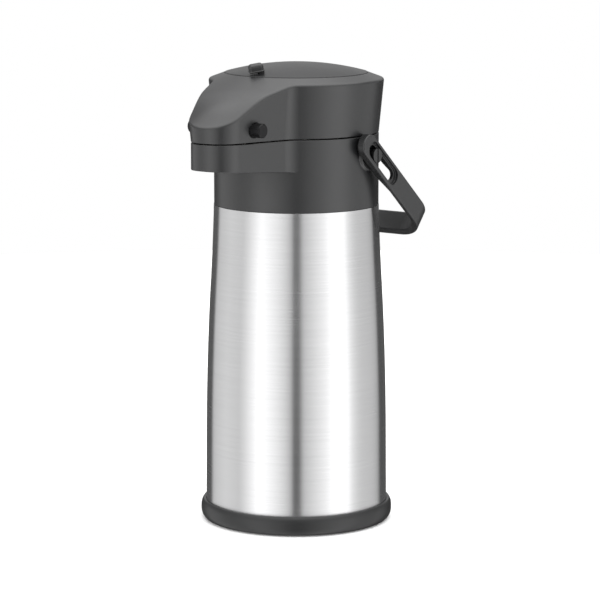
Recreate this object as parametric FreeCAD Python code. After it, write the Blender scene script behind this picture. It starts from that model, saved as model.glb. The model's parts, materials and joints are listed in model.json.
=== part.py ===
import FreeCAD, Part
import math
import os

os.makedirs("parts", exist_ok=True)

# Thermal coffee airpot, millimetres. Origin: centre of the underside, on the table.
# +Z up, the spout points to -Y, the handle hangs at +Y.

V = FreeCAD.Vector
X, Y, Z = V(1, 0, 0), V(0, 1, 0), V(0, 0, 1)
FRONT = -Y

# ---- driving dimensions ----
GAP = 0.3  # clearance between faces that move past each other
FIT = 0.05  # radial clearance of a pin running in its bore
STEEL = 0.6  # steel wall
MOULD = 2.4  # moulded wall

# swivel foot
PAD_R, PAD_H = 62.0, 1.2
PLATE_R, PLATE_TOP = 74.0, 4.0
SWIVEL_PIN_R = 5.0

# base cup
CUP_FOOT_R, CUP_BULGE_R, CUP_LIP_R = 79.4, 82.5, 80.4
CUP_Z0, CUP_BULGE_Z, CUP_LIP_Z = 1.0, 10.0, 17.0
CUP_FLOOR_Z, CUP_FLOOR_TOP = 6.3, 8.9
BASE_SCREW_RING_R, BASE_SCREW_R = 40.0, 1.5

# steel body: (radius, height) pairs on the outside, from the foot up
SHELL_WAIST = [(78.05, 14), (77.8, 60), (77.2, 110), (76.1, 150), (74.4, 190), (72.2, 230), (70.6, 273.7)]
SHELL_SHOULDER = [(67.4, 273.1), (66.6, 281), (62.0, 287), (52.0, 292), (40.0, 296), (33.0, 300)]
NECK_R, NECK_Z = 33.0, 309.0
LINER_FLOOR = [(0, 27), (62, 27), (71.5, 38)]
LINER = LINER_FLOOR + [(64, 262), (60, 272), (50, 281), (38, 286.5), (31.4, 290), (31.4, 309)]

# collar and spout box
COLLAR_R, COLLAR_Z0, SEAM_Z, SEAM_GAP = 70.3, 274.0, 335.9, 0.9
DECK_Z, DECK_H = 303.0, 2.4  # the collar's inner deck, round the neck
TIP_S, TIP_HALF, TIP_CORNER = 130.0, 19.0, 23.6  # the nose's sharp corner, and its rounding
TAPER = math.radians(15.0)  # spread of the spout's sides from the nose to the wall
BLEND_R = 19.5  # hollow between the spout's side and the round wall
BOX_TIP_S, BOX_TIP_Z = 118.0, 312.2  # two points of the spout box's sloping floor
BOX_ROOT_S, BOX_ROOT_Z = 56.0, 307.9
BOX_EDGE_R = 1.0
COVER_H, COVER_ROOT_S, COVER_LEDGE = 1.8, 78.0, 1.2  # plate that closes the box from below
NOZZLE_S, NOZZLE_R, NOZZLE_Z = 113.0, 6.0, 312.6

# mouth and spout pipe
INSERT_R, INSERT_BORE, INSERT_Z, INSERT_TOP = 36.0, 27.0, 310.8, 320.0
PIPE_R, PIPE_BORE, PIPE_Z = 3.6, 3.0, 315.4
GASKET_H = 1.6

# lid
DRAFT = 0.097  # outward lean of the lid's walls
BUTTON_R, SKIRT_Z, SKIRT_SLOPE = 61.0, 386.0, 0.37
DROP, DROP_FROM, DROP_TO = 12.4, 84.0, 136.0  # dip of the top surface along the spout
CROWN, CROWN_S, CROWN_WIDTH = 3.6, 115.0, 14.0  # its crown across, near the tip
CREASE_R = 2.4  # rounding between the top surface and the walls
SEAM_R = 0.5  # rounding of the two edges at the seam
LID_BASE_Z, LID_BASE_H = 338.2, 2.4
SLEEVE_Z = 350.0  # lower end of the sleeve round the push plate
SCREW_RING_R, SCREW_ANGLES, SCREW_TIP_S, SCREW_END_Z = 64.5, (35, 145, 215, 325), 106.0, 348.0
SEAT_Z = INSERT_TOP + 1.9
VALVE_Z = SEAT_Z + 3.0  # upper face of the bellows seat
HINGE_Y, HINGE_Z, HINGE_PIN_R, KNUCKLE_R = 74.0, 336.6, 2.0, 5.0
KNUCKLE_HALF, KNUCKLE_END = 13.9, 24.2  # half width of the lid's knuckle, end of the collar's two
WEB_Z = 324.0  # foot of the webs under the collar's knuckles

# pump
DOME_Z, DOME_EDGE_Z, DOME_H = 394.4, 386.3, 2.2
PLATE_EDGE_R = BUTTON_R - 0.1
BELLOWS_R, BELLOWS_FOLD, BELLOWS_TOP_Z = 40.0, 9.0, 383.0
SPRING_R, SPRING_WIRE_R = 14.0, 1.0
PLUNGER_Z = 356.0

# release buttons
RELEASE_S, RELEASE_Z, RELEASE_R, RELEASE_OUT = 97.0, 346.0, 6.0, 37.6
FLANGE_R = 7.6
HOOK_IN, HOOK_OUT, HOOK_NOSE_X, HOOK_HALF, HOOK_Z = 15.0, 17.0, 21.6, 3.0, 325.5
LATCH_ROOM = 4.0  # space for the hook to move inwards
RIB_HALF = 5.0  # rib between the two release springs

# lock lever: a cap beside its pivot, which stands on the dome
KNOB_S, KNOB_LONG, KNOB_WIDE, KNOB_H, KNOB_STEM_R = 50.0, 12.2, 8.4, 6.4, 2.8
KNOB_OFFSET = 3.9  # from the pivot to the middle of the cap
KNOB_TURN = 48.0  # degrees from crosswise, at rest

# bail handle: reach is measured from the pivot along the arm
PIVOT = V(0, 7.0, 319.0)
ARM_DROP = math.radians(40.75)
ARM_OUT, ARM_INNER, EAR_INNER = 80.0, 75.3, 72.2
ARM_HALF, REACH, CROSSBAR_IN, BAIL_CORNER = 9.8, 108.0, 100.0, 27.0
EAR_END = 23.6
SLOT_HALF, SLOT_BACK, SLOT_FRONT = 5.1, 11.5, 33.0
RECESS_HALF, RECESS_BACK, RECESS_FRONT, RECESS_DEEP = 7.2, 15.0, 37.0, 2.6
BUSH_R, SCREW_R, SCREW_HEAD_R = 4.2, 2.5, 6.2
BOSS_R, BOSS_OUT = 12.0, 71.9


# ---- helpers ----
def save(name, shape):
    """Write one node, checking that it is sound."""
    shape = shape.removeSplitter() if len(shape.Solids) == 1 else shape
    solids = len(shape.Solids)
    print(f"{name:22s} solids {solids} valid {shape.isValid()} volume {shape.Volume / 1000:.2f} cm3")
    shape.exportStep(f"parts/{name}.step")


def tube(r_out, r_in, z0, z1):
    """Upright ring between two heights."""
    return rod(r_out, z0, z1).cut(rod(r_in, z0 - 1, z1 + 1))


def rod(r, z0, z1, at=(0, 0)):
    """Upright cylinder between two heights."""
    return Part.makeCylinder(r, z1 - z0, V(at[0], at[1], z0))


def rod_x(r, x0, x1, y, z):
    """Cylinder along X."""
    return Part.makeCylinder(r, x1 - x0, V(x0, y, z), X)


def block(x0, x1, y0, y1, z0, z1):
    return Part.makeBox(x1 - x0, y1 - y0, z1 - z0, V(x0, y0, z0))


def turned(edges):
    """Solid of revolution about Z from a closed outline of edges in the XZ plane."""
    face = Part.Face(Part.Wire(Part.__sortEdges__(edges)))
    return face.revolve(V(0, 0, 0), Z, 360)


def lines(points):
    """Straight edges through (r, z) points, left open."""
    vectors = [V(r, 0, z) for r, z in points]
    return [Part.makeLine(a, b) for a, b in zip(vectors, vectors[1:])]


def turned_polygon(points):
    return turned(lines(points + points[:1]))


def curve(points):
    """Smooth edge through (r, z) points."""
    spline = Part.BSplineCurve()
    spline.interpolate([V(r, 0, z) for r, z in points])
    return spline.toShape()


def fuse(first, *others):
    return first.fuse(list(others)).removeSplitter()


def mirrored(shape):
    """The same piece on the other side of the pot."""
    return shape.mirror(V(0, 0, 0), X)


def fillet_where(shape, radius, wanted):
    """Round the edges for which wanted(edge) holds."""
    return shape.makeFillet(radius, [e for e in shape.Edges if wanted(e)])


def rounded(points, radii):
    """Open path through the points, with a tangent arc of its own radius at each inner one."""
    edges, start = [], points[0]
    for i, bend_r in enumerate(radii, 1):
        corner = points[i]
        back = (points[i - 1] - corner).normalize()
        ahead = (points[i + 1] - corner).normalize()
        half = back.getAngle(ahead) / 2
        setback = bend_r / math.tan(half)
        entry, leave = corner + back * setback, corner + ahead * setback
        middle = corner + (back + ahead).normalize() * (bend_r / math.sin(half) - bend_r)
        edges += [Part.makeLine(start, entry), Part.Arc(entry, middle, leave).toShape()]
        start = leave
    return edges + [Part.makeLine(start, points[-1])]


def ring_of_screws(centres, r_head, r_shank, z_head, head_h, z_end):
    """Slotted pan-head screws driven upwards at the given centres, as one group."""
    screws = []
    for x, y in centres:
        head = rod(r_head, z_head, z_head + head_h, (x, y))
        drive = block(x - 0.5, x + 0.5, y - r_head, y + r_head, z_head - 1, z_head + 0.8)
        screws.append(rod(r_shank, z_head, z_end, (x, y)).fuse(head).cut(drive))
    return Part.makeCompound(screws)


def polar(radius, degrees_list):
    angles = [math.radians(d) for d in degrees_list]
    return [(radius * math.cos(a), radius * math.sin(a)) for a in angles]


# ---- the plan of the spout and the round wall ----
def outline(radius, inset=0.0):
    """Closed plan of the round wall with the spout box, at Z = 0, moved inwards by inset.

    The spout's sides spread from its tip and run through a hollow into the round wall.
    """
    round_r, blend = radius - inset, BLEND_R + inset
    rearward = V(math.sin(TAPER), math.cos(TAPER), 0)
    outward = V(math.cos(TAPER), -math.sin(TAPER), 0)
    # The tip's sharp corner, where the inset front and the inset side meet.
    corner = V(TIP_HALF, -TIP_S, 0) + V(-inset * (1 - math.sin(TAPER)) / math.cos(TAPER), inset, 0)
    # Hollow: a circle that touches the side line and the round wall from outside.
    reach = round_r + blend
    base = corner + outward * blend
    across = base.dot(rearward)
    centre = base + rearward * (-across - math.sqrt(across**2 - base.dot(base) + reach**2))
    touch_side, touch_round = centre - outward * blend, centre * (round_r / reach)
    hollow_mid = centre + ((touch_side + touch_round) * 0.5 - centre).normalize() * blend
    corner_r = TIP_CORNER - inset
    flip = [V(-p.x, p.y, 0) for p in (touch_side, corner)]
    spout = rounded(flip + [corner, touch_side], [corner_r, corner_r])
    hollow = Part.Arc(touch_side, hollow_mid, touch_round).toShape()
    rear = Part.Arc(touch_round, V(0, round_r, 0), V(-touch_round.x, touch_round.y, 0)).toShape()
    return Part.Wire(Part.__sortEdges__(spout + [hollow, rear, hollow.mirror(V(0, 0, 0), X)]))


def prism(wire, z0, z1):
    return Part.Face(wire).translated(V(0, 0, z0)).extrude(V(0, 0, z1 - z0))


# ---- the lid's top surface ----
def smooth(t):
    t = min(max(t, 0.0), 1.0)
    return t * t * (3 - 2 * t)


def top_height(x, y):
    """Height of the lid's upper surface: a shallow skirt that dips along the spout."""
    r = math.hypot(x, y)
    if r > BUTTON_R:
        skirt = SKIRT_Z - SKIRT_SLOPE * (r - BUTTON_R)
    else:
        skirt = SKIRT_Z + SKIRT_SLOPE * (BUTTON_R**2 - r**2) / (2 * BUTTON_R)
    s = -y
    dip = DROP * smooth((s - DROP_FROM) / (DROP_TO - DROP_FROM))
    half_width = TIP_HALF + (TIP_S - s) * math.tan(TAPER)
    across = min(abs(x) / max(half_width, TIP_HALF), 1.3)
    crown = CROWN * math.exp(-(((s - CROWN_S) / CROWN_WIDTH) ** 2)) * (1 - across**2)
    return skirt - dip + crown


def above_top(lowered):
    """Everything above the lid's upper surface, for cutting; lowered shifts it down."""
    step = 4.0
    columns = [-92 + step * i for i in range(47)]
    rows = [-140 + step * i for i in range(59)]
    grid = [[V(x, y, top_height(x, y) - lowered) for y in rows] for x in columns]
    surface = Part.BSplineSurface()
    surface.interpolate(grid)
    return surface.toShape().extrude(V(0, 0, 90))


def drafted(inset, z0, z1):
    """Lid body: the seam outline, leaning outwards as it rises."""
    low = outline(COLLAR_R, inset - DRAFT * (z0 - SEAM_Z))
    high = outline(COLLAR_R, inset - DRAFT * (z1 - SEAM_Z))
    return Part.makeLoft([low.translated(V(0, 0, z0)), high.translated(V(0, 0, z1))], True, True)


def skin(points, thickness):
    """Thin turned wall: the smooth outside through the points and a parallel inside."""
    inside = parallel(points, thickness)
    ends = lines([points[0], inside[0]]) + lines([points[-1], inside[-1]])
    return turned([curve(points), curve(inside)] + ends)


def parallel(points, distance):
    """The same open profile moved towards the axis by a distance, square to itself."""
    moved = []
    for i, (r, z) in enumerate(points):
        before, after = points[max(i - 1, 0)], points[min(i + 1, len(points) - 1)]
        dr, dz = after[0] - before[0], after[1] - before[1]
        length = math.hypot(dr, dz)
        moved.append((r - distance * dz / length, z + distance * dr / length))
    return moved


def coil(radius, wire_r, length, turns):
    """Compression spring standing on Z = 0."""
    helix = Part.makeHelix(length / turns, length, radius)
    section = Part.Wire(Part.makeCircle(wire_r, V(radius, 0, 0), Y))
    return Part.Wire(helix.Edges).makePipeShell([section], True, True).translated(V(0, 0, 0))


def bent_tube(points, radii, r_out, r_in):
    """Tube along straight runs with a tangent arc at each inner point."""
    path = Part.Wire(rounded(points, radii))
    heading = points[1] - points[0]
    full, bore = [
        path.makePipeShell([Part.Wire(Part.makeCircle(r, points[0], heading))], True, True)
        for r in (r_out, r_in)
    ]
    return full.cut(bore)


# ---- swivel foot ----
def swivel_foot():
    save("anti_slip_pad", rod(PAD_R, 0, PAD_H))
    plate = fuse(rod(PLATE_R, PAD_H, PLATE_TOP), rod(13, PLATE_TOP - 1, 6.2))
    plate = plate.cut(rod(SWIVEL_PIN_R + FIT, PAD_H - 1, 7)).cut(rod(9.5, PAD_H - 1, 3.0))
    save("swivel_plate", plate)
    save("slip_ring", tube(60, 54, PLATE_TOP, 6.0))
    screw = fuse(rod(9, 1.3, 2.9), rod(SWIVEL_PIN_R, 2.5, CUP_FLOOR_Z), rod(3.5, 6, 13))
    save("swivel_screw", screw.cut(rod(2.5, 1, 2.2)))


def base_cup():
    outside = Part.BSplineCurve()
    outside.interpolate([V(CUP_FOOT_R, 0, CUP_Z0), V(81.6, 0, 4.0), V(CUP_BULGE_R, 0, CUP_BULGE_Z),
                         V(81.8, 0, 14.6), V(CUP_LIP_R, 0, CUP_LIP_Z)])
    seat = [(CUP_LIP_R, CUP_LIP_Z), (78.3, CUP_LIP_Z), (78.3, 13.9), (76, 13.9), (76, CUP_FLOOR_TOP)]
    hub = [(11, CUP_FLOOR_TOP), (11, 14), (3.5, 14), (3.5, CUP_FLOOR_Z)]
    inside = lines(seat + hub + [(75, CUP_FLOOR_Z), (75, CUP_Z0), (CUP_FOOT_R, CUP_Z0)])
    cup = turned([outside.toShape()] + inside)
    centres = polar(BASE_SCREW_RING_R, (30, 150, 270))
    for x, y in centres:
        cup = cup.cut(rod(BASE_SCREW_R + 0.2, 5, 10, (x, y)))
    save("base_cup", cup)
    bottom = turned_polygon([(77.4, 15.5), (77.4, 22), (76.8, 22), (76.8, 16.1), (0, 16.1), (0, 15.5)])
    for x, y in centres:
        post = rod(4.5, CUP_FLOOR_TOP, 15.8, (x, y))
        bottom = bottom.fuse(post.cut(rod(BASE_SCREW_R, 8, 14, (x, y))))
    save("shell_bottom", bottom)
    save("base_screws", ring_of_screws(centres, 3.4, BASE_SCREW_R, 4.7, 1.6, 14))


# ---- vacuum vessel ----
def vessel():
    neck = tube(NECK_R, NECK_R - STEEL, SHELL_SHOULDER[-1][1] - 0.5, NECK_Z)
    step = tube(SHELL_WAIST[-1][0], SHELL_SHOULDER[0][0] - STEEL, 273.1, 273.7)
    shell = fuse(skin(SHELL_WAIST, STEEL), step, skin(SHELL_SHOULDER, STEEL), neck)
    save("outer_shell", shell)
    inside = parallel(LINER, STEEL)
    wall = turned_polygon(LINER + [inside[-1]] + inside[-2:0:-1] + [(0, LINER[0][1] + STEEL)])
    save("inner_liner", fuse(wall, tube(NECK_R, LINER[-1][0] - STEEL, NECK_Z, NECK_Z + STEEL)))
    save("neck_nut", neck_nut())
    save("neck_seal", tube(35, 31, NECK_Z + STEEL, INSERT_Z))


def neck_nut():
    """Ring nut that clamps the collar's deck on the neck, with six grip notches."""
    nut = tube(42, NECK_R + FIT, DECK_Z + DECK_H, 308.6)
    for x, y in polar(43, range(0, 360, 60)):
        nut = nut.cut(rod(3, 300, 312, (x, y)))
    return nut


# ---- collar and spout ----
def box_floor_z(s):
    return BOX_TIP_Z + (BOX_ROOT_Z - BOX_TIP_Z) * (BOX_TIP_S - s) / (BOX_TIP_S - BOX_ROOT_S)


def below_box(raised, core_r):
    """Everything below the spout box's sloping floor, in front of the round wall."""
    s0, s1 = 20, 140
    high = [V(-60, -s, box_floor_z(s) + raised) for s in (s0, s1)]
    points = [V(-60, -s0, 290)] + high + [V(-60, -s1, 290)]
    wedge = Part.Face(Part.makePolygon(points + points[:1])).extrude(V(120, 0, 0))
    return wedge.cut(rod(core_r, 280, 340))


def collar():
    top = SEAM_Z - SEAM_GAP
    inner_r = COLLAR_R - MOULD
    body = prism(outline(COLLAR_R), 300, top).cut(below_box(0, COLLAR_R))
    body = fuse(body, rod(COLLAR_R, COLLAR_Z0, top))
    body = fillet_where(body, SEAM_R, lambda e: e.BoundBox.ZMin > top - 0.01)
    body = fillet_where(body, BOX_EDGE_R, under_box)
    deck_top = DECK_Z + DECK_H
    hollow = prism(outline(COLLAR_R, MOULD), deck_top, top + 1).cut(below_box(MOULD, inner_r))
    body = body.cut(hollow).cut(rod(inner_r, COLLAR_Z0 - 1, DECK_Z)).cut(rod(NECK_R + GAP, 300, 310))
    body = body.fuse([pivot_boss(1, inner_r), pivot_boss(-1, inner_r)])
    for x0 in (60, -80):
        body = body.cut(rod_x(SCREW_R, x0, x0 + 20, PIVOT.y, PIVOT.z))
    body = body.cut(spout_cover_plate(0.2)).cut(spout_opening()).fuse([keeper(1), keeper(-1)])
    body = add_collar_knuckles(body)
    save("collar", body)
    cover = spout_cover_plate(0).cut(rod(NOZZLE_R + 0.1, 300, 330, (0, -NOZZLE_S)))
    save("spout_cover", cover)


def under_box(edge):
    """Lower edge of the spout box, where its floor meets its sides and nose."""
    box = edge.BoundBox
    return box.ZMax < BOX_TIP_Z + 3 and box.ZMin > BOX_ROOT_Z - 3 and box.YMax < -60


def pivot_boss(side, inner_r):
    outer = Part.makeCone(BOSS_R + 4, BOSS_R, 4.5, V(BOSS_OUT - 4.5, PIVOT.y, PIVOT.z), X)
    inner = rod_x(6, 62, inner_r + 1, PIVOT.y, PIVOT.z)
    boss = outer.cut(rod(inner_r, 300, 340)).fuse(inner)
    return boss if side > 0 else mirrored(boss)


def keeper(side):
    """Ledge inside the spout box, beside the latch hook's nose."""
    y = -RELEASE_S
    ledge = block(HOOK_NOSE_X + GAP, 29, y - HOOK_HALF, y + HOOK_HALF, 328.5, 331)
    ledge = ledge.common(prism(outline(COLLAR_R, 1.0), 320, 334))
    return ledge if side > 0 else mirrored(ledge)


def spout_cover_plate(extra):
    """Plate that closes the spout box from below; extra widens it into its opening."""
    plan = prism(outline(COLLAR_R, MOULD + COVER_LEDGE - extra), 300, 330)
    plan = plan.common(block(-60, 60, -140, -COVER_ROOT_S + extra, 300, 330))
    return plan.cut(below_box(-extra, 10)).common(below_box(COVER_H, 10))


def spout_opening():
    """Hole in the box floor above the cover, leaving a ledge all round for it."""
    ledge = 1.5
    plan = prism(outline(COLLAR_R, MOULD + COVER_LEDGE + ledge), 300, 330)
    plan = plan.common(block(-60, 60, -140, -COVER_ROOT_S - ledge, 300, 330))
    return plan.common(below_box(MOULD + 0.5, 10))


def add_collar_knuckles(body):
    inner_end = KNUCKLE_HALF + GAP
    body = body.cut(rod_x(KNUCKLE_R + 0.4, -inner_end, inner_end, HINGE_Y, HINGE_Z))
    for x0 in (inner_end, -KNUCKLE_END):
        barrel = rod_x(KNUCKLE_R, x0, x0 + 10, HINGE_Y, HINGE_Z)
        web = block(x0, x0 + 10, 60, HINGE_Y + KNUCKLE_R - 0.6, WEB_Z, HINGE_Z)
        web = fillet_where(web, 4.0, low_rear).cut(rod(COLLAR_R - 1, WEB_Z - 1, SEAM_Z - SEAM_GAP))
        web = web.cut(rod(COLLAR_R + GAP, SEAM_Z - SEAM_GAP, HINGE_Z + 1))
        body = body.fuse(web.fuse(barrel))
        body = body.cut(rod_x(HINGE_PIN_R + FIT, x0 - 1, x0 + 11, HINGE_Y, HINGE_Z))
    return body


def low_rear(edge):
    box = edge.BoundBox
    return abs(box.ZMax - WEB_Z) < 0.01 and box.YMin > HINGE_Y


def spout_parts():
    insert = tube(INSERT_R, INSERT_BORE, INSERT_Z, INSERT_TOP)
    hub = rod(8, 308, INSERT_TOP)
    front_arm = Part.makeCylinder(5.2, 28, V(0, -4, PIPE_Z), FRONT)
    front_arm = front_arm.common(rod(60, INSERT_Z, INSERT_TOP))
    arms = [block(-3, 3, 5, 30, INSERT_Z, INSERT_TOP).rotated(V(), Z, a) for a in (60, -60)]
    insert = fuse(insert, hub, front_arm, *arms)
    insert = insert.cut(rod(PIPE_R, 300, 312)).cut(rod(PIPE_BORE, 300, PIPE_Z))
    insert = insert.cut(Part.makeCylinder(PIPE_BORE, 40, V(0, 0, PIPE_Z), FRONT))
    insert = insert.cut(Part.makeCylinder(PIPE_R, 20, V(0, -31, PIPE_Z), FRONT))
    save("mouth_insert", insert.cut(Part.makeSphere(PIPE_BORE, V(0, 0, PIPE_Z))))
    save("mouth_gasket", tube(35, 28, INSERT_TOP, INSERT_TOP + GASKET_H))
    save("dip_tube", tube(PIPE_R, PIPE_BORE, 31, 312).cut(rod_x(2.4, -10, 10, 0, 31)))
    route = [V(0, -31, PIPE_Z), V(0, -62, PIPE_Z), V(0, -NOZZLE_S, 327.8), V(0, -NOZZLE_S, 316)]
    save("spout_pipe", bent_tube(route, [40, 7], PIPE_R, PIPE_BORE))
    at = (0, -NOZZLE_S)
    nozzle = rod(NOZZLE_R, NOZZLE_Z, 319, at).cut(rod(PIPE_BORE, 300, 317, at))
    save("spout_nozzle", nozzle.cut(rod(PIPE_R, 316, 320, at)))


# ---- lid ----
LID_SCREWS = polar(SCREW_RING_R, SCREW_ANGLES) + [(0, -SCREW_TIP_S)]


def lid_housing():
    body = fillet_where(drafted(0, SEAM_Z, 402).cut(above_top(0)), CREASE_R, on_top_crease)
    body = fillet_where(body, SEAM_R, lambda e: e.BoundBox.ZMax < SEAM_Z + 0.01)
    body = body.cut(drafted(MOULD, SEAM_Z - 1, 402).cut(above_top(MOULD + 0.3)))
    under_top = above_top(1)
    opening = rod(BUTTON_R + GAP, 345, 410)
    sleeve = tube(BUTTON_R + MOULD, BUTTON_R, SLEEVE_Z, 400)
    rib = block(-RIB_HALF, RIB_HALF, -RELEASE_S - 7, -RELEASE_S + 7, 341, 395)
    bosses = [rod(4, LID_BASE_Z + LID_BASE_H, SLEEVE_Z + 3, c) for c in LID_SCREWS[:-1]]
    tip_boss = rod(4, LID_BASE_Z + LID_BASE_H, 395, LID_SCREWS[-1])
    body = body.cut(rod_x(KNUCKLE_R + 0.4, -KNUCKLE_END - GAP, KNUCKLE_END + GAP, HINGE_Y, HINGE_Z))
    body = body.fuse([piece.cut(under_top) for piece in (sleeve, rib, tip_boss)] + bosses).cut(opening)
    body = body.fuse([hinge_web(), rod_x(KNUCKLE_R, -KNUCKLE_HALF, KNUCKLE_HALF, HINGE_Y, HINGE_Z)])
    body = body.cut(rod_x(HINGE_PIN_R, -30, 30, HINGE_Y, HINGE_Z))
    for x0 in (12, -50):
        body = body.cut(rod_x(RELEASE_R + GAP, x0, x0 + 38, -RELEASE_S, RELEASE_Z))
    for centre in LID_SCREWS:
        body = body.cut(rod(1.4, 340, SCREW_END_Z + 1, centre))
    save("lid_housing", body)


def on_top_crease(edge):
    """Edge between the lid's walls and its top surface."""
    return edge.BoundBox.ZMin > RELEASE_Z


def hinge_web():
    """Web that carries the lid's knuckle behind its rear wall."""
    side = [(66, 336.6), (78.6, 336.6), (78.6, 338.6), (72, 352), (66, 352)]
    profile = Part.makePolygon([V(-KNUCKLE_HALF, y, z) for y, z in side + side[:1]])
    web = Part.Face(profile).extrude(V(2 * KNUCKLE_HALF, 0, 0))
    return web.cut(drafted(MOULD, SEAM_Z - 1, 402))


def lid_inside():
    base = prism(outline(COLLAR_R, MOULD + 0.3), LID_BASE_Z, LID_BASE_Z + LID_BASE_H)
    base = base.cut(rod(33, 330, 345)).cut(block(-30, 30, 66, 80, 330, 345))
    notch_in, notch_wide = HOOK_IN - LATCH_ROOM, FLANGE_R + 0.5
    notch = block(notch_in, 45, -RELEASE_S - notch_wide, -RELEASE_S + notch_wide, 330, 345)
    base = base.cut(notch).cut(mirrored(notch))
    for centre in LID_SCREWS:
        base = base.cut(rod(1.7, 330, 345, centre))
    save("lid_base", base)
    save("lid_screws", ring_of_screws(LID_SCREWS, 3.0, 1.4, 336.6, 1.6, SCREW_END_Z))
    save("hinge_pin", rod_x(HINGE_PIN_R, -KNUCKLE_END, KNUCKLE_END, HINGE_Y, HINGE_Z))
    rim_z = 336.2  # underside of the flange that hangs below the lid base
    seat = turned_polygon([(3, SEAT_Z), (35.5, SEAT_Z), (35.5, rim_z), (42, rim_z), (42, LID_BASE_Z),
                           (33, LID_BASE_Z), (33, VALVE_Z), (3, VALVE_Z)])
    for centre in polar(6.5, range(0, 360, 60)):
        seat = seat.cut(rod(1.6, 320, 330, centre))
    save("bellows_seat", seat)
    save("air_valve", fuse(rod(10, VALVE_Z, VALVE_Z + 1), rod(3, SEAT_Z - 0.5, VALVE_Z + 0.5)))
    save("bellows", bellows())
    top = dome_z(SPRING_R) - DOME_H
    spring = coil(SPRING_R, SPRING_WIRE_R, top - VALVE_Z - 2 * SPRING_WIRE_R - 0.1, 10)
    save("return_spring", spring.translated(V(0, 0, VALVE_Z + SPRING_WIRE_R)))


def bellows():
    """Folded rubber sleeve between the lid base and the push plate."""
    z0, z1, folds, wall = LID_BASE_Z + LID_BASE_H, BELLOWS_TOP_Z, 5, 1.2
    pitch = (z1 - z0) / folds
    outer = [(BELLOWS_R - BELLOWS_FOLD, z0)]
    for i in range(folds):
        outer += [(BELLOWS_R, z0 + pitch * (i + 0.5)), (BELLOWS_R - BELLOWS_FOLD, z0 + pitch * (i + 1))]
    inner = [(r - wall * 1.6, z) for r, z in outer]
    return turned_polygon(outer + inner[::-1])


# ---- pump ----
def dome_z(r):
    return DOME_Z - (DOME_Z - DOME_EDGE_Z) * (r / PLATE_EDGE_R) ** 2


def dome(lowered):
    """Solid under the push plate's domed face."""
    rim, foot_z = PLATE_EDGE_R, 374
    arc = Part.Arc(*[V(r, 0, dome_z(r) - lowered) for r in (0, 35, rim)]).toShape()
    sides = lines([(rim, DOME_EDGE_Z - lowered), (rim, foot_z), (0, foot_z), (0, DOME_Z - lowered)])
    return turned([arc] + sides)


def pump():
    plate = fillet_where(dome(0), 0.8, lambda e: abs(e.BoundBox.ZMin - DOME_EDGE_Z) < 0.01)
    plate = plate.cut(dome(DOME_H).common(rod(PLATE_EDGE_R - 2, 370, 400)))
    bellows_ring = tube(38, 35.5, BELLOWS_TOP_Z, 392)
    spring_ring = tube(17.5, SPRING_R + 1.8, 384, 393)
    plate = fuse(plate, bellows_ring.cut(above_dome()), spring_ring.cut(above_dome()))
    save("push_plate", plate.cut(stand_on_dome(rod(KNOB_STEM_R + FIT, -5, 5))))
    save("plunger", tube(9, 7, PLUNGER_Z, 393).cut(above_dome()))


def above_dome():
    """Everything above the underside of the push plate's skin, for cutting."""
    return rod(80, 374, 420).cut(dome(DOME_H))


def stand_on_dome(shape):
    """Move a lock piece, drawn upright at the origin, onto the dome, square to its surface."""
    slope = 2 * (DOME_Z - DOME_EDGE_Z) * KNOB_S / PLATE_EDGE_R**2
    tilted = shape.rotated(V(0, 0, 0), X, math.degrees(math.atan(slope)))
    return tilted.translated(V(0, -KNOB_S, dome_z(KNOB_S)))


def lock():
    """Turning lever on top of the push plate, with its cam below."""
    x0 = -KNOB_OFFSET - KNOB_LONG / 2
    cap = Part.makeBox(KNOB_LONG, KNOB_WIDE, KNOB_H, V(x0, -KNOB_WIDE / 2, 1.8))
    cap = fillet_where(cap, 2.6, lambda e: e.BoundBox.ZMax > 2)
    long, wide = KNOB_STEM_R + 0.4 - x0, KNOB_WIDE + 0.8
    lip = Part.makeBox(long, wide, 1.6, V(x0 - 0.4, -wide / 2, 1.3))
    lip = lip.makeFillet(2.8, [e for e in lip.Edges if e.BoundBox.ZLength > 1])
    lip = lip.makeChamfer(0.6, [e for e in lip.Edges if e.BoundBox.ZLength < 0.01])
    stem = rod(KNOB_STEM_R, -6.0, 2.5)
    cam = block(-6, 0, -3, 3, -8.0, -6.0).fuse([rod(KNOB_STEM_R, -8, -6), rod(3, -8, -6, (-6, 0))])
    for name, shape in (("lock_knob", fuse(cap, lip, stem)), ("lock_cam", cam)):
        save(name, stand_on_dome(shape.rotated(V(0, 0, 0), Z, KNOB_TURN)))


# ---- release buttons ----
def release_buttons():
    y, wire_r = -RELEASE_S, 0.5
    button = rod_x(RELEASE_R, HOOK_OUT, RELEASE_OUT, y, RELEASE_Z)
    button = button.makeChamfer(0.9, [e for e in button.Edges if e.BoundBox.XMin > RELEASE_OUT - 0.1])
    button = fuse(button, rod_x(FLANGE_R, HOOK_OUT, HOOK_OUT + 2, y, RELEASE_Z))
    arm = block(HOOK_IN, HOOK_OUT, y - HOOK_HALF, y + HOOK_HALF, HOOK_Z, 350)
    nose = block(HOOK_IN, HOOK_NOSE_X, y - HOOK_HALF, y + HOOK_HALF, HOOK_Z, HOOK_Z + 2.5)
    spring = coil(3.4, wire_r, HOOK_IN - RIB_HALF - 2 * wire_r, 5).rotated(V(0, 0, 0), Y, 90)
    pieces = (
        ("release_button", button),
        ("latch_hook", fuse(arm, nose)),
        ("release_spring", spring.translated(V(RIB_HALF + wire_r, y, RELEASE_Z))),
    )
    for name, shape in pieces:
        save(f"{name}_right", shape)
        save(f"{name}_left", mirrored(shape))


# ---- handle ----
def hang(shape):
    """Turn a handle piece drawn with its arms along +Y into its place at the pivot."""
    return shape.rotated(V(0, 0, 0), X, -math.degrees(ARM_DROP)).translated(PIVOT)


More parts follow.
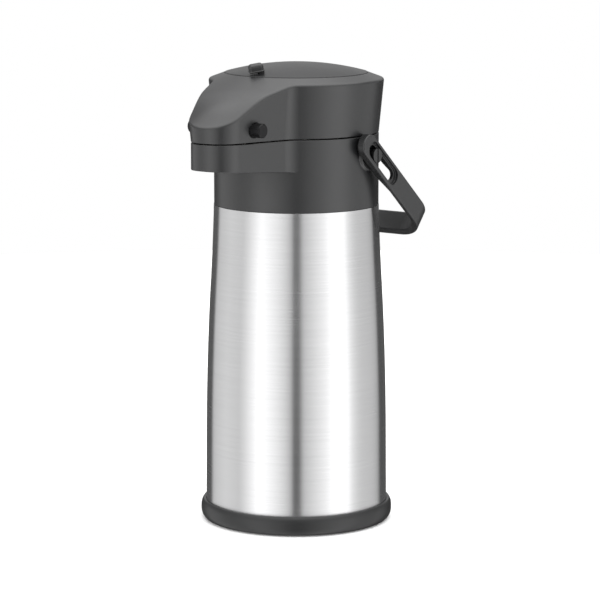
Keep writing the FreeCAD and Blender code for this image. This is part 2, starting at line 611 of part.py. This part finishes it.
def bail_plan(half, far, corner, near):
    """Flat bail outline in X and reach: straight arms and a crossbar with rounded corners."""
    c = half - corner
    s = corner * math.sqrt(0.5)
    edges = [Part.makeLine(V(-half, near, 0), V(half, near, 0))]
    for side in (1, -1):
        mid = V(side * (c + s), far - corner + s, 0)
        edges.append(Part.makeLine(V(side * half, near, 0), V(side * half, far - corner, 0)))
        edges.append(Part.Arc(V(side * half, far - corner, 0), mid, V(side * c, far, 0)).toShape())
    edges.append(Part.makeLine(V(-c, far, 0), V(c, far, 0)))
    return Part.Face(Part.Wire(Part.__sortEdges__(edges)))


def stadium(half, back, front, x0, x1):
    """Slot cutter along the arm, from x0 to x1 through it."""
    slot = block(x0, x1, -back + half, front - half, -half, half)
    return slot.fuse([rod_x(half, x0, x1, y, 0) for y in (-back + half, front - half)])


def handle():
    near = -40  # the arms are drawn this far past the pivot, then trimmed round
    thick = V(0, 0, 2 * ARM_HALF)
    outside = bail_plan(ARM_OUT, REACH, BAIL_CORNER, near).extrude(thick)
    inside = bail_plan(ARM_INNER, CROSSBAR_IN, BAIL_CORNER - 6, near - 1).extrude(thick)
    ears = []
    for side in (1, -1):
        corners = ((EAR_INNER, near), (EAR_INNER, 19), (ARM_INNER + 1, 46), (79, near))
        points = [V(side * x, t, 0) for x, t in corners]
        ears.append(Part.Face(Part.makePolygon(points + points[:1])).extrude(thick))
    bail = outside.cut(inside).fuse(ears).translated(V(0, 0, -ARM_HALF)).removeSplitter()
    end = -EAR_END + ARM_HALF
    trim = block(-90, 90, end, REACH + 5, -ARM_HALF - 1, ARM_HALF + 1)
    bail = bail.common(trim.fuse(rod_x(ARM_HALF, -90, 90, end, 0))).removeSplitter()
    bail = fillet_where(bail, 1.4, long_bail_edge)
    recess = stadium(RECESS_HALF, RECESS_BACK, RECESS_FRONT, ARM_OUT - RECESS_DEEP, 90)
    slot = stadium(SLOT_HALF, SLOT_BACK, SLOT_FRONT, 60, 90)
    for cutter in (recess, slot):
        bail = bail.cut(cutter).cut(mirrored(cutter))
    save("handle_bail", hang(bail))


def long_bail_edge(edge):
    """Edges on the bail's two flat faces."""
    box = edge.BoundBox
    return box.ZLength < 0.01 and abs(abs(box.ZMin) - ARM_HALF) < 0.01 and box.XMin * box.XMax > -6000


def handle_pivots():
    head_in, head_out = ARM_OUT - RECESS_DEEP + GAP, ARM_OUT - 0.2
    screw = fuse(rod_x(SCREW_R, 62.5, head_in + 0.5, 0, 0), rod_x(SCREW_HEAD_R, head_in, head_out, 0, 0))
    screw = fillet_where(screw, 0.5, lambda e: e.BoundBox.XMin > head_out - 0.01)
    screw = screw.cut(block(head_out - 1.1, 90, -0.8, 0.8, -9, 9))
    bush = rod_x(BUSH_R, BOSS_OUT + 0.1, head_in - 0.1, 0, 0).cut(rod_x(SCREW_R + FIT, 60, 90, 0, 0))
    for name, shape in (("pivot_screw", screw), ("handle_bush", bush)):
        shape = shape.translated(PIVOT)
        save(f"{name}_right", shape)
        save(f"{name}_left", mirrored(shape))


swivel_foot()
base_cup()
vessel()
collar()
spout_parts()
lid_housing()
lid_inside()
pump()
lock()
release_buttons()
handle()
handle_pivots()
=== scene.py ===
import json
import math

import bpy
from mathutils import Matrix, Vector


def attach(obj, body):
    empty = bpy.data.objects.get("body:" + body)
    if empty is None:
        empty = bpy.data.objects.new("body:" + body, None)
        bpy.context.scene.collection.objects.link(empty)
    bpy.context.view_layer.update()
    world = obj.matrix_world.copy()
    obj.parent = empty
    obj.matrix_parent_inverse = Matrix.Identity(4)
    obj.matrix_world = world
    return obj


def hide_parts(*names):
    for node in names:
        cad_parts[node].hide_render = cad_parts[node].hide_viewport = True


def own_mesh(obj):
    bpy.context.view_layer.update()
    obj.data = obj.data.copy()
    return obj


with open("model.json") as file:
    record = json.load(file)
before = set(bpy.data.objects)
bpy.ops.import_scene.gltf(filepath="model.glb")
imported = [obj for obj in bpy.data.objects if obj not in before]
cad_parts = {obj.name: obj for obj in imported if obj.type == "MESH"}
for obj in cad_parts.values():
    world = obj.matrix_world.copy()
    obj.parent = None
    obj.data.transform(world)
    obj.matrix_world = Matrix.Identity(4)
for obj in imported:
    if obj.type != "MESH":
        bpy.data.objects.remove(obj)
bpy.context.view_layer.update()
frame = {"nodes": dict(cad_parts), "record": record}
NODES = frame["nodes"]
SLOT_OF = {p["node"]: p["material_slot"] for p in frame["record"]["subparts"]}


def new_object(name, data):
    item = bpy.data.objects.new(name, data)
    bpy.context.scene.collection.objects.link(item)
    return item


# ---- camera ----
CAMERA_AT = Vector((1.4572, -2.0056, 0.5948))
CAMERA_AZIMUTH = math.atan2(CAMERA_AT.y, CAMERA_AT.x)
PITCH = 0.1620  # radians below the horizon
SENSOR_WIDTH = 36.0  # mm
LENS = 175.19  # mm
SHIFT_X = 0.00614  # share of the sensor's width
CLIP_END = 50.0


def make_camera():
    data = bpy.data.cameras.new("camera")
    data.sensor_width = SENSOR_WIDTH
    data.lens = LENS
    data.shift_x = SHIFT_X
    data.clip_end = CLIP_END
    camera = new_object("camera", data)
    camera.location = CAMERA_AT
    camera.rotation_euler = (math.pi / 2 - PITCH, 0, CAMERA_AZIMUTH + math.pi / 2)
    bpy.context.scene.camera = camera


# ---- node helpers ----
MIX_A, MIX_B, MIX_RESULT = 6, 7, 2  # the Mix node's colour sockets


class Tree:
    """Short calls for building a node tree."""

    def __init__(self, owner):
        owner.use_nodes = True
        self.tree = owner.node_tree

    def put(self, socket, value):
        """Link a node or an output to a socket, or set its value; None leaves it as it is."""
        if isinstance(value, bpy.types.Node):
            value = value.outputs[0]
        if isinstance(value, bpy.types.NodeSocket):
            self.tree.links.new(value, socket)
        elif value is not None:
            socket.default_value = value

    def fill(self, node, values):
        """Link or set inputs by name."""
        for name, value in values.items():
            self.put(node.inputs[name], value)
        return node

    def add(self, kind, *inputs, **settings):
        """New node with its first inputs; settings are its properties."""
        node = self.tree.nodes.new("ShaderNode" + kind)
        for key, value in settings.items():
            setattr(node, key, value)
        for socket, value in zip(node.inputs, inputs):
            self.put(socket, value)
        return node

    def place(self):
        return self.add("TexCoord").outputs["Object"]

    def math(self, operation, *inputs):
        return self.add("Math", *inputs, operation=operation)

    def vector(self, operation, *inputs):
        return self.add("VectorMath", *inputs, operation=operation)

    def noise(self, vector, scale, detail, roughness):
        values = {"Vector": vector, "Scale": scale, "Detail": detail, "Roughness": roughness}
        return self.fill(self.add("TexNoise"), values)

    def ramp(self, factor, stops):
        """Grey by position, from (position, grey) stops."""
        node = self.add("ValToRGB", factor)
        elements = node.color_ramp.elements
        for position, _ in stops[2:]:
            elements.new(position)
        for element, (position, _) in zip(elements, stops):
            element.position = position
        for element, (_, value) in zip(elements, stops):
            element.color = grey(value)
        return node

    def spread(self, factor, low, high):
        """A 0..1 value moved to low..high."""
        values = {"Value": factor, "To Min": low, "To Max": high}
        return self.fill(self.add("MapRange"), values)

    def around(self, factor, middle, half):
        """A 0..1 value moved to middle - half..middle + half."""
        return self.spread(factor, middle - half, middle + half)

    def mix(self, factor, a, b, blend="MIX"):
        node = self.add("Mix", data_type="RGBA", blend_type=blend)
        self.put(node.inputs["Factor"], factor)
        self.put(node.inputs[MIX_A], a)
        self.put(node.inputs[MIX_B], b)
        return node.outputs[MIX_RESULT]

    def bump(self, height, strength, distance, normal=None):
        values = {"Height": height, "Strength": strength, "Distance": distance, "Normal": normal}
        return self.fill(self.add("Bump"), values)


def grey(value):
    return (value, value, value, 1.0)


def scaled(colour, factor):
    return tuple(c * factor for c in colour)


def tint(colour, factor, lift=0.0):
    """RGBA of a colour made darker or lighter, white at most."""
    return tuple(min(c * factor + lift, 1.0) for c in colour) + (1,)


def shader(name):
    material = bpy.data.materials.new(name)
    tree = Tree(material)
    return material, tree, tree.tree.nodes["Principled BSDF"]


# ---- finishes ----
# How far the normal turns at an edge: the bevelled and the plain one's dot product.
SHARP_EDGE, FLAT_FACE = 0.86, 0.995


def edge_mask(tree, radius):
    """Bevelled normal, and 0 on faces to 1 on sharp edges."""
    bevel = tree.add("Bevel", radius, samples=6)
    normal = tree.add("NewGeometry").outputs["Normal"]
    dot = tree.vector("DOT_PRODUCT", bevel, normal).outputs["Value"]
    return bevel, tree.ramp(dot, [(SHARP_EDGE, 1.0), (FLAT_FACE, 0.0)])


def moulded(name, colour, roughness, grain=0.00003, edge=1.6, radius=0.0009, gloss=0.70):
    """Moulded plastic: spark-eroded grain, faint flow marks, edges lightened as rubbed wear and as a
    painted highlight.
    """
    material, tree, bsdf = shader(name)
    place = tree.place()
    fine = tree.noise(place, scale=2400, detail=3.0, roughness=0.6)
    cloud = tree.noise(place, scale=38, detail=4.0, roughness=0.55)
    marks = tree.noise(place, scale=210, detail=3.0, roughness=0.7)
    bevel, lightened_edges = edge_mask(tree, radius)
    base = tree.mix(cloud, tint(colour, 0.93), tint(colour, 1.07))
    # Edges lighter in colour: partly rubbed wear, partly a painted highlight along the creases.
    base = tree.mix(tree.math("MULTIPLY", lightened_edges, 0.6), base, tint(colour, edge))
    speck = tree.around(fine, 1.0, 0.07)
    rough = tree.math("ADD", tree.around(cloud, roughness, 0.05), tree.around(marks, 0.0, 0.03))
    tree.fill(bsdf, {
        "Base Color": tree.mix(1.0, base, speck, "MULTIPLY"),
        "Roughness": tree.math("SUBTRACT", rough, tree.math("MULTIPLY", lightened_edges, 0.08)),
        "Specular IOR Level": gloss,
        "Normal": tree.bump(fine, strength=0.6, distance=grain, normal=bevel),
    })
    return material


def lines_round(tree, place, along, across, detail, roughness):
    """Noise drawn out into lines that run round the Z axis."""
    mapping = tree.fill(tree.add("Mapping"), {"Vector": place, "Scale": (along, along, across)})
    return tree.noise(mapping, scale=1.0, detail=detail, roughness=roughness)


def turned_normal(tree):
    """Normal of a wall turned round Z: the mesh's own slope, pointing straight out or in."""
    geometry = tree.add("NewGeometry")
    normal = geometry.outputs["Normal"]
    flat = tree.vector("MULTIPLY", geometry.outputs["Position"], (1.0, 1.0, 0.0))
    out = tree.vector("NORMALIZE", flat)
    along = tree.vector("DOT_PRODUCT", normal, out).outputs["Value"]
    radial = tree.fill(tree.vector("SCALE", out), {"Scale": along})
    rise = tree.vector("MULTIPLY", normal, (0.0, 0.0, 1.0))
    return tree.vector("NORMALIZE", tree.vector("ADD", radial, rise))


def brushed(name, colour, roughness, anisotropy, turned):
    """Sheet steel brushed round the body: fine lines, their reflections drawn out along Z."""
    material, tree, bsdf = shader(name)
    place = tree.place()
    hair = lines_round(tree, place, along=9, across=2600, detail=2.0, roughness=0.6)
    band = lines_round(tree, place, along=14, across=620, detail=3.0, roughness=0.65)
    cloud = tree.noise(place, scale=26, detail=3.0, roughness=0.5)
    lines = tree.math("ADD", tree.math("MULTIPLY", hair, 0.55), tree.math("MULTIPLY", band, 0.45))
    contrast = tree.ramp(lines, [(0.3, 0.0), (0.7, 1.0)])
    normal = turned_normal(tree) if turned else None
    tree.fill(bsdf, {
        "Base Color": tree.mix(contrast, tint(colour, 0.95), tint(colour, 1.05)),
        "Metallic": 1.0,
        "Roughness": tree.math("ADD", tree.around(lines, roughness, 0.03), tree.around(cloud, 0.0, 0.02)),
        "Anisotropic": anisotropy,
        "Anisotropic Rotation": 0.25,
        "Tangent": tree.add("Tangent", direction_type="RADIAL", axis="Z"),
        "Normal": tree.bump(lines, strength=0.2, distance=0.000006, normal=normal),
    })
    return material


def metal(name, colour, roughness, mark_scale=900):
    """Turned or drawn steel with fine tool marks and rubbed edges."""
    material, tree, bsdf = shader(name)
    place = tree.place()
    fine = tree.noise(place, scale=mark_scale, detail=3.0, roughness=0.6)
    cloud = tree.noise(place, scale=60, detail=3.0, roughness=0.5)
    bevel, lightened_edges = edge_mask(tree, 0.0004)
    lighter = tree.math("MAXIMUM", cloud, lightened_edges)
    tree.fill(bsdf, {
        "Base Color": tree.mix(lighter, tint(colour, 0.85), tint(colour, 1.1)),
        "Metallic": 1.0,
        "Roughness": tree.around(fine, roughness, 0.07),
        "Normal": tree.bump(fine, strength=0.3, distance=0.00002, normal=bevel),
    })
    return material


def rubber(name, colour, roughness, softness=0.0):
    """Moulded rubber or silicone: soft grain, a little light let in, dusty blotches."""
    material, tree, bsdf = shader(name)
    place = tree.place()
    fine = tree.noise(place, scale=1500, detail=4.0, roughness=0.7)
    dust = tree.noise(place, scale=70, detail=5.0, roughness=0.6)
    dusty = tree.ramp(dust, [(0.35, 0.0), (0.7, 1.0)])
    tree.fill(bsdf, {
        "Base Color": tree.mix(dusty, tint(colour, 0.88), tint(colour, 1.15, 0.004)),
        "Roughness": tree.spread(dust, roughness - 0.06, roughness + 0.08),
        "Subsurface Weight": softness,
        "Subsurface Radius": (0.002, 0.0015, 0.001),
        "Normal": tree.bump(fine, strength=0.5, distance=0.00005),
    })
    return material


HEAD = (0.0105, 0.0108, 0.0115)
BLACK = (0.006, 0.006, 0.0065)
FINISHES = {
    "head_plastic": (moulded, HEAD, {"roughness": 0.34}),
    "dome_plastic": (moulded, scaled(HEAD, 0.95), {"roughness": 0.34, "gloss": 0.4}),
    "knob_plastic": (moulded, scaled(HEAD, 0.8), {"roughness": 0.36, "radius": 0.0006}),
    "handle_plastic": (moulded, scaled(HEAD, 0.9), {"roughness": 0.38}),
    "base_plastic": (moulded, scaled(HEAD, 0.8), {"roughness": 0.36, "gloss": 0.55}),
    "button_plastic": (moulded, BLACK, {"roughness": 0.30, "grain": 0.00001, "edge": 2.0, "gloss": 0.2}),
    "screw_plastic": (moulded, scaled(HEAD, 0.75), {"roughness": 0.40, "radius": 0.0005}),
    "inner_plastic": (moulded, (0.62, 0.61, 0.57), {"roughness": 0.42, "edge": 1.08}),
    "slip_plastic": (moulded, (0.76, 0.76, 0.72), {"roughness": 0.35, "edge": 1.05}),
    "shell_steel": (brushed, (0.64, 0.64, 0.645), {"roughness": 0.26, "anisotropy": 1.0, "turned": True}),
    "liner_steel": (brushed, (0.60, 0.60, 0.61), {"roughness": 0.22, "anisotropy": 0.4, "turned": False}),
    "fastener_steel": (metal, (0.58, 0.58, 0.60), {"roughness": 0.24}),
    "spring_steel": (metal, (0.50, 0.50, 0.52), {"roughness": 0.32, "mark_scale": 1800}),
    "seal_rubber": (rubber, (0.62, 0.59, 0.54), {"roughness": 0.5, "softness": 0.1}),
    "bellows_rubber": (rubber, (0.045, 0.045, 0.046), {"roughness": 0.55}),
    "pad_rubber": (rubber, (0.02, 0.02, 0.021), {"roughness": 0.7}),
}


def dress():
    materials = {
        slot: finish(slot, colour, **settings)
        for slot, (finish, colour, settings) in FINISHES.items()
    }
    for name, node in NODES.items():
        node.data.materials.clear()
        node.data.materials.append(materials[SLOT_OF[name]])


# ---- pieces that shorten in the real thing: copied onto the lid in place of their CAD nodes ----
# CAD node: its joint, the axis it shortens along, its fixed end there, and the share left at the limit.
FLEXIBLE = {
    "bellows": ("pump_slide", 2, 0.3406, 0.335),
    "return_spring": ("pump_slide", 2, 0.3249, 0.58),
    "release_spring_right": ("release_right_slide", 0, 0.005, 0.65),
    "release_spring_left": ("release_left_slide", 0, -0.005, 0.65),
}


def make_flexible(name, joint, axis, fixed_end, keep):
    piece = new_object(name + "_flexible", NODES[name].data.copy())
    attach(piece, "lid")
    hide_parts(name)
    direction, anchor = [0.0, 0.0, 0.0], [0.0, 0.0, 0.0]
    direction[axis], anchor[axis] = 1.0, fixed_end
    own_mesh(piece)


# ---- studio ----
# Brightness of the surroundings by degrees from behind the camera towards its right: two soft boxes
# with a dark gap between them behind the camera, and a dark flag on each side at the back.
SURROUNDINGS = [
    (-180, 0.45), (-168, 0.10), (-139, 0.12), (-133, 0.86), (-103, 1.06), (-84, 0.93), (-79, 0.86),
    (-70, 1.13), (-60, 1.5), (-50, 1.9), (-34, 1.55), (-24, 1.3), (-14, 0.98), (-6, 0.6), (-4, 0.06),
    (4, 0.06), (6, 0.4), (10, 0.78), (22, 1.05), (38, 1.40), (50, 1.9), (70, 1.9), (76, 1.35), (86, 1.0),
    (94, 0.9), (112, 0.86), (122, 0.76), (129, 0.64), (134, 0.10), (168, 0.10), (175, 0.45),
]
# The same for directions that rise, where the steps are softer and nothing is black.
UPPER = [
    (-180, 0.72), (-165, 0.5), (-145, 0.42), (-115, 0.5), (-70, 1.0), (-50, 1.5), (-30, 1.2), (-10, 0.75),
    (0, 0.45), (10, 0.7), (35, 1.2), (55, 1.5), (75, 1.1), (110, 0.5), (140, 0.40), (165, 0.62),
]
BRIGHTEST = 2.0
OVERHEAD = 2.35
# By the direction's rise: the share of UPPER, then that of the light overhead.
UPPER_SHARE = [(0.05, 0.0), (0.22, 1.0)]
OVERHEAD_SHARE = [(0.58, 0.0), (0.74, 0.72), (0.92, 1.0)]

FLOOR_SIDES, FLOOR_RADIUS = 96, 1.6
FLOOR_WHITE, FLOOR_VARIATION = 0.93, 0.01
FLOOR_GLOW = 0.10

SOFTBOX_AT, SOFTBOX_TARGET = Vector((0.1, 0.2, 1.6)), Vector((0, 0, 0.2))
SOFTBOX_SIDE, SOFTBOX_POWER = 1.6, 7


def make_world():
    world = bpy.data.worlds.new("studio")
    bpy.context.scene.world = world
    tree = Tree(world)
    direction = tree.add("TexCoord").outputs["Generated"]
    axes = tree.add("SeparateXYZ", direction)
    azimuth = tree.math("ARCTAN2", axes.outputs["Y"], axes.outputs["X"])
    turn = tree.math("SUBTRACT", azimuth, CAMERA_AZIMUTH)
    part = tree.math("FRACT", tree.math("MULTIPLY_ADD", turn, 1 / math.tau, 1.5))
    low, high = (
        tree.ramp(part, [(0.5 + degrees / 360, value / BRIGHTEST) for degrees, value in table])
        for table in (SURROUNDINGS, UPPER)
    )
    bands = tree.mix(tree.ramp(axes.outputs["Z"], UPPER_SHARE), low, high)
    overhead = tree.ramp(axes.outputs["Z"], OVERHEAD_SHARE)
    light = tree.mix(overhead, bands, grey(OVERHEAD / BRIGHTEST))
    studio = tree.add("Background", light, BRIGHTEST)
    backdrop = tree.add("Background", grey(1.0), 1.0)
    seen = tree.add("LightPath").outputs["Is Camera Ray"]
    output = next(n for n in tree.tree.nodes if n.type == "OUTPUT_WORLD")
    tree.put(output.inputs["Surface"], tree.add("MixShader", seen, studio, backdrop))


def make_floor():
    mesh = bpy.data.meshes.new("floor")
    turns = [i * math.tau / FLOOR_SIDES for i in range(FLOOR_SIDES)]
    ring = [(FLOOR_RADIUS * math.cos(a), FLOOR_RADIUS * math.sin(a), 0) for a in turns]
    mesh.from_pydata(ring, [], [list(range(FLOOR_SIDES))])
    floor = new_object("floor", mesh)
    material, tree, bsdf = shader("floor")
    tone = tree.noise(tree.place(), scale=6, detail=2.0, roughness=0.5)
    low, high = grey(FLOOR_WHITE - FLOOR_VARIATION), grey(FLOOR_WHITE + FLOOR_VARIATION)
    tree.fill(bsdf, {
        "Base Color": tree.mix(tone, low, high),
        "Roughness": 0.9,
        "Specular IOR Level": 0.1,
        "Emission Color": grey(1.0),
        "Emission Strength": FLOOR_GLOW,
    })
    mesh.materials.append(material)
    floor.visible_glossy = False


def make_softbox():
    data = bpy.data.lights.new("overhead_softbox", "AREA")
    data.shape = "RECTANGLE"
    data.size = data.size_y = SOFTBOX_SIDE
    data.energy = SOFTBOX_POWER
    lamp = new_object("overhead_softbox", data)
    lamp.location = SOFTBOX_AT
    lamp.rotation_euler = (SOFTBOX_TARGET - SOFTBOX_AT).to_track_quat("-Z", "Y").to_euler()
    lamp.visible_glossy = False


make_camera()
make_world()
make_floor()
make_softbox()
dress()
for node_name, motion in FLEXIBLE.items():
    make_flexible(node_name, *motion)
bpy.context.scene.view_settings.view_transform = "Standard"
